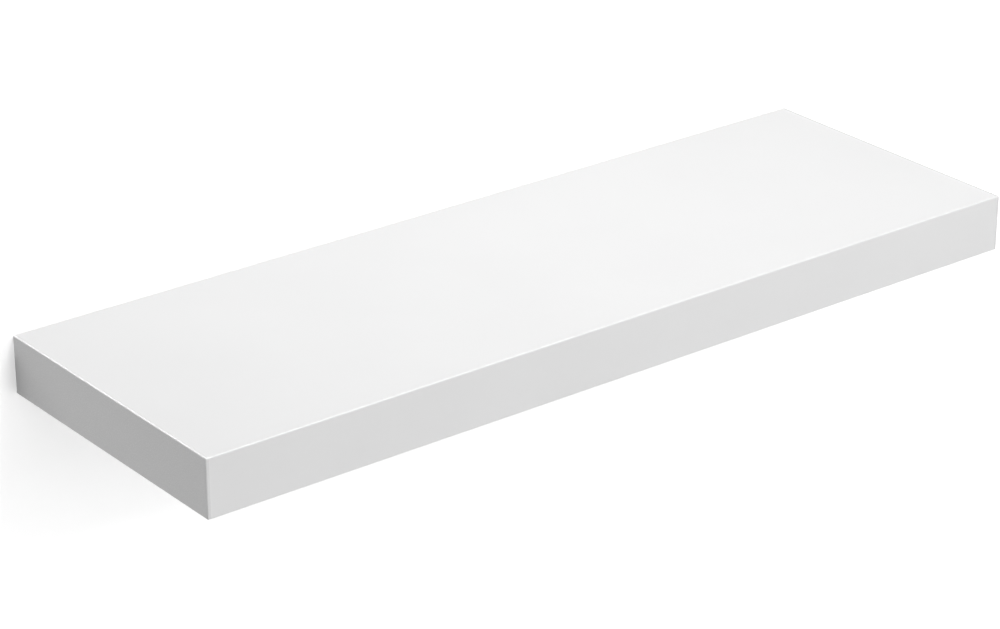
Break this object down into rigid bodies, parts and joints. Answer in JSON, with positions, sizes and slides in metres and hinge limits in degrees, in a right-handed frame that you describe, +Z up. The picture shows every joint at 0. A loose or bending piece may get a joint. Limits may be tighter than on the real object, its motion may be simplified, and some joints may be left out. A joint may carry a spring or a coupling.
{
  "type": "floating wall shelf",
  "caption": "Plain white hollow-core wall shelf: a rectangular board with rounded arrises that slides onto a hidden steel wall plate with support rods.",
  "frame": {"origin": "on the wall, at the middle of the line of the wall plate's screw holes; the middle of the board's length and thickness", "axes": "+X along the wall, to the right of someone facing it; +Y into the wall; +Z up, so the board's front is at -Y and its top at +Z"},
  "size_m": [0.6, 0.2, 0.037],
  "materials": {
    "white_foil": "satin",
    "white_edging": "satin",
    "hardboard": "matte",
    "particle_board": "matte",
    "honeycomb_paper": "matte",
    "staple_wire": "satin",
    "insert_brass": "satin",
    "powder_coat": "satin",
    "zinc_plated_steel": "satin",
    "black_oxide_steel": "satin"
  },
  "bodies": {
    "wall_bracket": {"wall_plate": "powder_coat", "left_support_rod": "zinc_plated_steel", "right_support_rod": "zinc_plated_steel"},
    "shelf_board": {"foil_wrap": "white_foil", "left_edge_band": "white_edging", "right_edge_band": "white_edging", "top_skin": "hardboard", "bottom_skin": "hardboard", "front_rail": "particle_board", "back_rail": "particle_board", "left_end_rail": "particle_board", "right_end_rail": "particle_board", "left_cross_rail": "particle_board", "right_cross_rail": "particle_board", "left_honeycomb": "honeycomb_paper", "middle_honeycomb": "honeycomb_paper", "right_honeycomb": "honeycomb_paper", "frame_staples": "staple_wire", "left_threaded_insert": "insert_brass", "right_threaded_insert": "insert_brass"},
    "left_lock_screw": {"left_lock_screw": "black_oxide_steel"},
    "right_lock_screw": {"right_lock_screw": "black_oxide_steel"}
  },
  "joints": [
    {"name": "board_slide", "type": "slide", "parent": "wall_bracket", "child": "shelf_board", "axis": [0, -1, 0], "range_m": [0, 0.14]},
    {"name": "left_lock_screw_travel", "type": "slide", "parent": "shelf_board", "child": "left_lock_screw", "axis": [0, 0, -1], "range_m": [0, 0.0025]},
    {"name": "right_lock_screw_travel", "type": "slide", "parent": "shelf_board", "child": "right_lock_screw", "axis": [0, 0, -1], "range_m": [0, 0.0025]}
  ]
}
